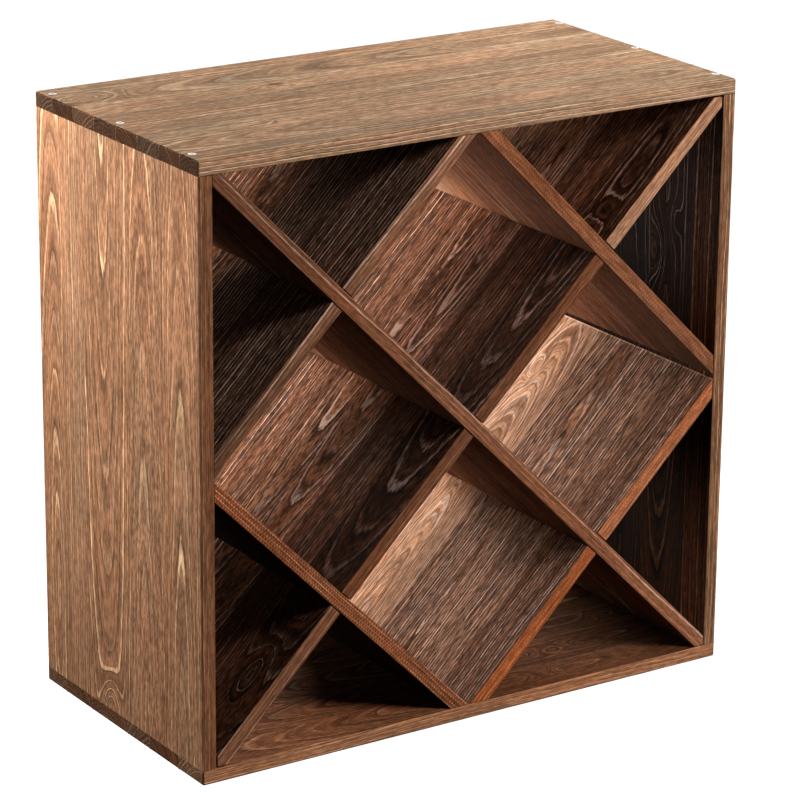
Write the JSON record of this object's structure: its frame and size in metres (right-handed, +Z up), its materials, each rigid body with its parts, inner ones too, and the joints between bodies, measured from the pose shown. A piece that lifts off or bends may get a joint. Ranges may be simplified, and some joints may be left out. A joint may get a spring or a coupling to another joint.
{
  "type": "wine cabinet",
  "caption": "Open wooden wine cube: glued and screwed box, open at front and back, with a diagonal cross-lapped lattice that holds bottles lying down.",
  "frame": {"origin": "middle of the underside of the bottom board", "axes": "+X to the right seen from the front, +Y to the back, +Z up"},
  "size_m": [0.6, 0.304, 0.6],
  "materials": {
    "stained_pine_carcass": "brushed, stained brown and oiled, satin",
    "stained_pine_lattice": "brushed, stained dark brown and oiled, satin",
    "zinc_screw": "bright zinc plating"
  },
  "bodies": {
    "root": {"bottom_screws_left": "zinc_screw", "bottom_screws_right": "zinc_screw", "bottom_stave_1": "stained_pine_carcass", "bottom_stave_2": "stained_pine_carcass", "bottom_stave_3": "stained_pine_carcass", "bottom_stave_4": "stained_pine_carcass", "bottom_stave_5": "stained_pine_carcass", "bottom_stave_6": "stained_pine_carcass", "falling_board_lower_left": "stained_pine_lattice", "falling_board_main": "stained_pine_lattice", "falling_board_upper_right": "stained_pine_lattice", "left_side_stave_1": "stained_pine_carcass", "left_side_stave_2": "stained_pine_carcass", "left_side_stave_3": "stained_pine_carcass", "left_side_stave_4": "stained_pine_carcass", "left_side_stave_5": "stained_pine_carcass", "right_side_stave_1": "stained_pine_carcass", "right_side_stave_2": "stained_pine_carcass", "right_side_stave_3": "stained_pine_carcass", "right_side_stave_4": "stained_pine_carcass", "right_side_stave_5": "stained_pine_carcass", "rising_board_lower_right": "stained_pine_lattice", "rising_board_main": "stained_pine_lattice", "rising_board_upper_left": "stained_pine_lattice", "top_screws_left": "zinc_screw", "top_screws_right": "zinc_screw", "top_stave_1": "stained_pine_carcass", "top_stave_2": "stained_pine_carcass", "top_stave_3": "stained_pine_carcass", "top_stave_4": "stained_pine_carcass", "top_stave_5": "stained_pine_carcass", "top_stave_6": "stained_pine_carcass", "top_stave_7": "stained_pine_carcass", "top_stave_8": "stained_pine_carcass"}
  },
  "joints": []
}
